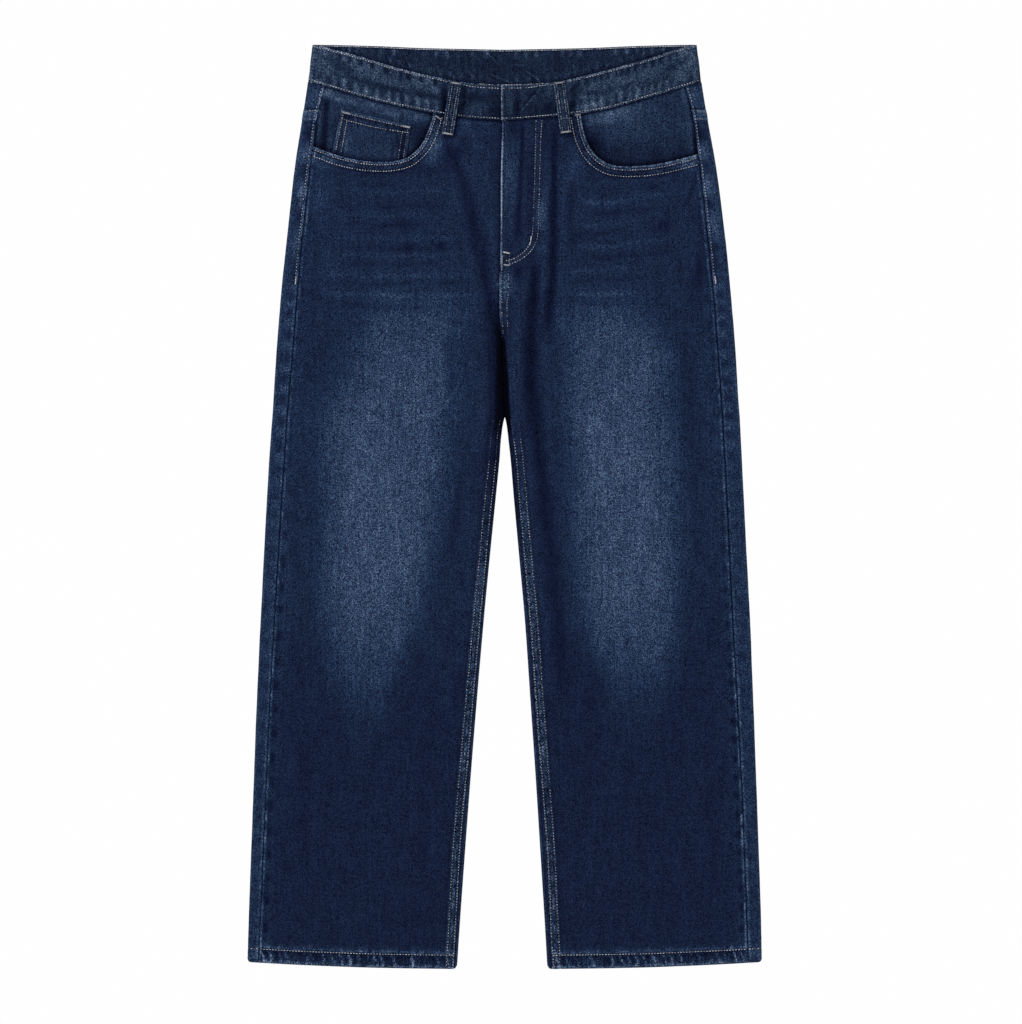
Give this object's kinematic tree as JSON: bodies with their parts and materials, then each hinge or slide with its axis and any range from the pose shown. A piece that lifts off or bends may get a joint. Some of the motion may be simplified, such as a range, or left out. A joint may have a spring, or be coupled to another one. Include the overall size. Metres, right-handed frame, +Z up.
{
  "type": "straight leg jeans",
  "caption": "Mid-rise denim jeans with straight wide legs, curved front pockets, a coin pocket and a closed fly, laid flat with the front up.",
  "frame": {"origin": "middle of the underside's outline, on the surface the jeans lie on", "axes": "+Y from the hems to the waist, +X to the right of someone who looks down at the front, +Z up out of the front"},
  "size_m": [0.5648, 1.0158, 0.0109],
  "materials": {
    "denim_front": "dark indigo cotton twill, faded over the thighs and knees",
    "denim_back": "dark indigo cotton twill, lightly faded",
    "denim_waistband": "indigo cotton twill, worn lighter along its edges",
    "denim_facing": "indigo cotton twill"
  },
  "bodies": {
    "root": {"front_panel_l": "denim_front", "front_panel_r": "denim_front", "back_panel_l": "denim_back", "back_panel_r": "denim_back", "yoke_l": "denim_back", "yoke_r": "denim_back", "waistband": "denim_waistband", "pocket_facing_l": "denim_facing", "pocket_facing_r": "denim_facing", "coin_pocket": "denim_facing", "belt_loop_front_l": "denim_waistband", "belt_loop_front_r": "denim_waistband", "belt_loop_back_l": "denim_waistband", "belt_loop_back_c": "denim_waistband", "belt_loop_back_r": "denim_waistband", "back_pocket_l": "denim_back", "back_pocket_r": "denim_back"}
  },
  "joints": []
}
